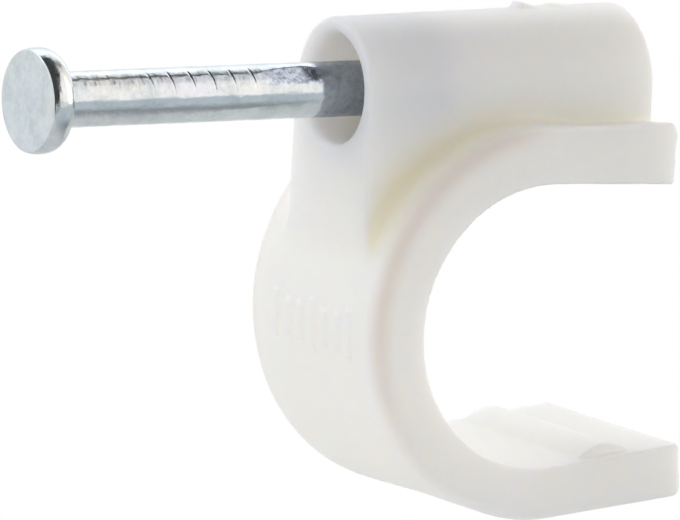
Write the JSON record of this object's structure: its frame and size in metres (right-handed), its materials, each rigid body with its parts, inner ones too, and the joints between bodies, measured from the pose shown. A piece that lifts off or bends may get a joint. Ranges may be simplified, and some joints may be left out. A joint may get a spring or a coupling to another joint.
{
  "type": "nail-in cable clip",
  "caption": "White moulded hook clip for a round cable, with a bored boss on its back that holds a flat-headed plated steel nail ready to be driven into a wall.",
  "frame": {"origin": "where the nail's axis meets the wall face of the boss", "axes": "+X along the nail into the wall, +Y along the cable, +Z from the cable up to the boss"},
  "size_m": [0.0298, 0.0102, 0.0209],
  "materials": {
    "clip_plastic": "satin off-white moulded polyethylene, slightly translucent",
    "plated_steel": "bright zinc-plated drawn steel with die marks"
  },
  "bodies": {
    "clip": {"clip_body": "clip_plastic"},
    "nail": {"nail": "plated_steel"}
  },
  "joints": [
    {"name": "nail_drive", "type": "slide", "parent": "clip", "child": "nail", "axis": [1, 0, 0], "range_m": [0, 0.01765]}
  ]
}
